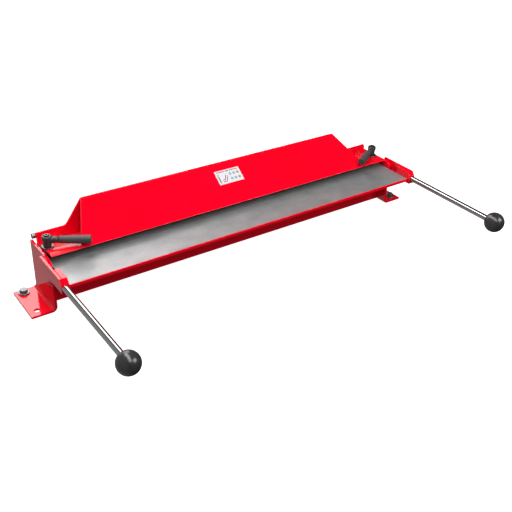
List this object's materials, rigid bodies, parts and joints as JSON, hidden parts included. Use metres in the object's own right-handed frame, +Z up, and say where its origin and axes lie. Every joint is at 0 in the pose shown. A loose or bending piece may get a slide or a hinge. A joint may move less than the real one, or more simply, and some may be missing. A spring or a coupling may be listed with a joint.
{
  "type": "sheet metal brake",
  "caption": "Bench-top manual folding brake: bent end plates with feet, hinged clamp beam with clamping levers, and a bending leaf with bar handles and ball knobs",
  "frame": {"origin": "centre of the bounding box on the bench, under the feet", "axes": "+X runs along the machine to the operator's right, +Y from the operator to the back, +Z up"},
  "size_m": [0.8964, 0.4146, 0.1622],
  "materials": {
    "red_paint": "gloss red enamel on sheet and plate steel",
    "ground_steel": "ground bare steel",
    "bright_steel": "polished round bar",
    "zinc_plate": "zinc plated hardware",
    "black_cast": "satin black cast metal",
    "black_grip": "matt black moulded grip",
    "black_ball": "polished black phenolic ball",
    "label": "plain pale label with grey bars"
  },
  "bodies": {
    "frame": {"left_end_plate": "red_paint", "right_end_plate": "red_paint", "bed_plate": "ground_steel", "bed_front_web": "red_paint", "bed_rear_web": "red_paint", "left_stud_nut": "zinc_plate", "right_stud_nut": "zinc_plate", "left_foot_bolt": "zinc_plate", "right_foot_bolt": "zinc_plate", "left_foot_washer": "zinc_plate", "right_foot_washer": "zinc_plate", "left_pivot_pin": "bright_steel", "right_pivot_pin": "bright_steel", "left_pivot_spacer": "red_paint", "right_pivot_spacer": "red_paint", "left_hinge_ear": "red_paint", "right_hinge_ear": "red_paint", "left_hinge_bolt": "zinc_plate", "right_hinge_bolt": "zinc_plate"},
    "clamp_beam": {"clamp_base": "red_paint", "clamp_back_plate": "red_paint", "clamp_front_panel": "red_paint", "front_label": "label", "left_hinge_tube": "red_paint", "right_hinge_tube": "red_paint"},
    "left_stud": {"left_clamp_stud": "bright_steel", "left_lever_collar": "black_cast"},
    "right_stud": {"right_clamp_stud": "bright_steel", "right_lever_collar": "black_cast"},
    "left_lever": {"left_lever_hub": "black_cast", "left_lever_grip": "black_grip", "left_lever_screw": "black_cast"},
    "right_lever": {"right_lever_hub": "black_cast", "right_lever_grip": "black_grip", "right_lever_screw": "black_cast"},
    "leaf": {"leaf_plate": "ground_steel", "leaf_front_strip": "red_paint", "left_arm_plate": "red_paint", "right_arm_plate": "red_paint", "left_arm_block": "red_paint", "right_arm_block": "red_paint", "left_handle_rod": "bright_steel", "right_handle_rod": "bright_steel", "left_handle_knob": "black_ball", "right_handle_knob": "black_ball"}
  },
  "joints": [
    {"name": "clamp_tilt", "type": "hinge", "parent": "frame", "child": "clamp_beam", "pos_m": [0, 0.2023, 0.1103], "axis": [1, 0, 0], "range_deg": [0, 10.5]},
    {"name": "left_stud_travel", "type": "slide", "parent": "frame", "child": "left_stud", "axis": [0, 0, -1], "range_m": [0, 0.0085]},
    {"name": "right_stud_travel", "type": "slide", "parent": "frame", "child": "right_stud", "axis": [0, 0, -1], "range_m": [0, 0.0085]},
    {"name": "left_lever_turn", "type": "hinge", "parent": "left_stud", "child": "left_lever", "pos_m": [-0.3876, 0.1598, 0.121], "axis": [0, 0, 1], "range_deg": [-149, 0]},
    {"name": "right_lever_turn", "type": "hinge", "parent": "right_stud", "child": "right_lever", "pos_m": [0.3876, 0.1598, 0.121], "axis": [0, 0, 1], "range_deg": [0, 149]},
    {"name": "leaf_swing", "type": "hinge", "parent": "frame", "child": "leaf", "pos_m": [0, 0.1223, 0.091], "axis": [-1, 0, 0], "range_deg": [0, 63]}
  ],
  "couplings": [
    {"joint": "left_stud_travel", "follows": "clamp_tilt", "m_per_rad": 0.046},
    {"joint": "right_stud_travel", "follows": "clamp_tilt", "m_per_rad": 0.046}
  ]
}
